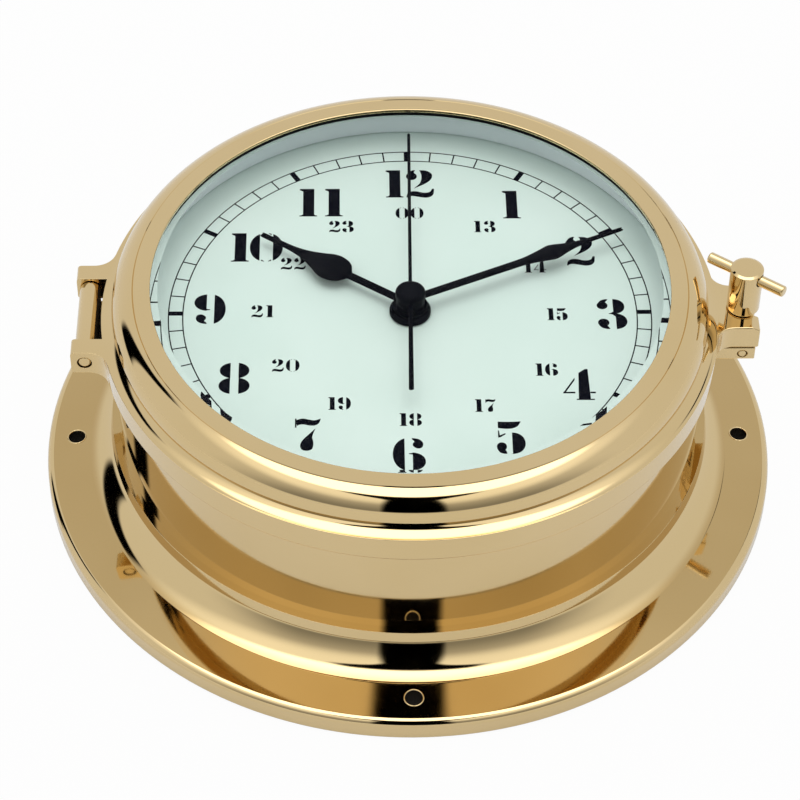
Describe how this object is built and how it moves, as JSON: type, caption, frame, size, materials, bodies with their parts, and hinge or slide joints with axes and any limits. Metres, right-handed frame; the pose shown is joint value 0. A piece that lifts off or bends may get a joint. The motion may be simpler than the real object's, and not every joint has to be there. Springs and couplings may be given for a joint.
{
  "type": "marine clock",
  "caption": "Round brass marine wall clock with a hinged glazed bezel, swing bolt latch, screw flange and battery movement behind a twenty-four-hour dial.",
  "frame": {"origin": "centre of the flange's back face, where the clock meets the wall", "axes": "+Z out of the dial, +Y to twelve o'clock, +X to three o'clock"},
  "size_m": [0.21, 0.21, 0.0743],
  "materials": {
    "polished_brass": "polished",
    "gear_brass": "satin",
    "black_lacquer": "semi-gloss black",
    "dial_enamel": "matt pale mint",
    "reflector_metal": "satin silver",
    "clear_glass": "clear",
    "black_rubber": "matt",
    "black_plastic": "matt",
    "white_plastic": "matt",
    "plain_steel": "satin",
    "copper_wire": "enamelled copper",
    "circuit_laminate": "satin green",
    "cell_jacket": "satin",
    "magnet_steel": "dark"
  },
  "bodies": {
    "case": {"case_body": "polished_brass", "hinge_pin": "polished_brass", "latch_pivot_pin": "polished_brass", "reflector_ring": "reflector_metal", "dial": "dial_enamel", "dial_washer": "black_rubber", "fixing_nut": "black_lacquer", "movement_housing": "black_plastic", "movement_cover": "black_plastic", "battery": "cell_jacket", "contact_positive": "plain_steel", "contact_negative": "plain_steel", "circuit_board": "circuit_laminate", "driver_chip": "black_plastic", "quartz_crystal": "plain_steel", "stator": "plain_steel", "coil_core": "plain_steel", "drive_coil": "copper_wire"},
    "bezel": {"bezel": "polished_brass", "glass": "clear_glass", "glass_gasket": "black_rubber", "glass_retaining_ring": "black_plastic", "bezel_seal": "black_rubber"},
    "swing_bolt": {"swing_bolt": "polished_brass"},
    "latch_nut": {"latch_nut": "polished_brass", "tommy_bar": "polished_brass"},
    "seconds": {"seconds_wheel": "gear_brass", "seconds_hand": "black_lacquer"},
    "rotor": {"rotor": "magnet_steel"},
    "intermediate": {"intermediate_wheel": "white_plastic"},
    "third": {"third_wheel": "white_plastic"},
    "centre": {"centre_wheel": "gear_brass"},
    "minute": {"minute_pipe": "gear_brass", "minute_hand": "black_lacquer"},
    "motion": {"motion_wheel": "white_plastic"},
    "hour": {"hour_wheel": "white_plastic", "hour_hand": "black_lacquer"},
    "setting_knob": {"setting_knob": "black_plastic"}
  },
  "joints": [
    {"name": "bezel_hinge", "type": "hinge", "parent": "case", "child": "bezel", "pos_m": [-0.09, 0, 0.0556], "axis": [0, -1, 0], "range_deg": [0, 110]},
    {"name": "bolt_swing", "type": "hinge", "parent": "case", "child": "swing_bolt", "pos_m": [0.093, 0, 0.04915], "axis": [0, 1, 0], "range_deg": [0, 110]},
    {"name": "nut_turn", "type": "hinge", "parent": "swing_bolt", "child": "latch_nut", "pos_m": [0.093, 0, 0.067], "axis": [0, 0, 1], "range_deg": [0, 1080]},
    {"name": "seconds_turn", "type": "hinge", "parent": "case", "child": "seconds", "pos_m": [0, 0, 0.0632], "axis": [0, 0, -1], "continuous": true},
    {"name": "rotor_turn", "type": "hinge", "parent": "case", "child": "rotor", "pos_m": [0.02011, 0.01125, 0.0448], "axis": [0, 0, -1], "continuous": true},
    {"name": "intermediate_turn", "type": "hinge", "parent": "case", "child": "intermediate", "pos_m": [0.01184, 0.00431, 0.0412], "axis": [0, 0, -1], "continuous": true},
    {"name": "third_turn", "type": "hinge", "parent": "case", "child": "third", "pos_m": [-0.01242, 0, 0.0452], "axis": [0, 0, -1], "continuous": true},
    {"name": "centre_turn", "type": "hinge", "parent": "case", "child": "centre", "pos_m": [0, 0, 0.047], "axis": [0, 0, -1], "continuous": true},
    {"name": "minute_turn", "type": "hinge", "parent": "case", "child": "minute", "pos_m": [0, 0, 0.0614], "axis": [0, 0, -1], "continuous": true},
    {"name": "motion_turn", "type": "hinge", "parent": "case", "child": "motion", "pos_m": [0, 0.011, 0.05], "axis": [0, 0, -1], "continuous": true},
    {"name": "hour_turn", "type": "hinge", "parent": "case", "child": "hour", "pos_m": [0, 0, 0.0596], "axis": [0, 0, -1], "continuous": true},
    {"name": "setting_turn", "type": "hinge", "parent": "case", "child": "setting_knob", "pos_m": [-0.00707, 0.01943, 0.033], "axis": [0, 0, -1], "continuous": true}
  ],
  "couplings": [
    {"joint": "rotor_turn", "follows": "seconds_turn", "ratio": 30},
    {"joint": "intermediate_turn", "follows": "seconds_turn", "ratio": -6},
    {"joint": "third_turn", "follows": "seconds_turn", "ratio": -0.13333},
    {"joint": "centre_turn", "follows": "seconds_turn", "ratio": 0.016667},
    {"joint": "motion_turn", "follows": "minute_turn", "ratio": -0.33333},
    {"joint": "hour_turn", "follows": "minute_turn", "ratio": 0.083333},
    {"joint": "setting_turn", "follows": "minute_turn", "ratio": 1}
  ]
}
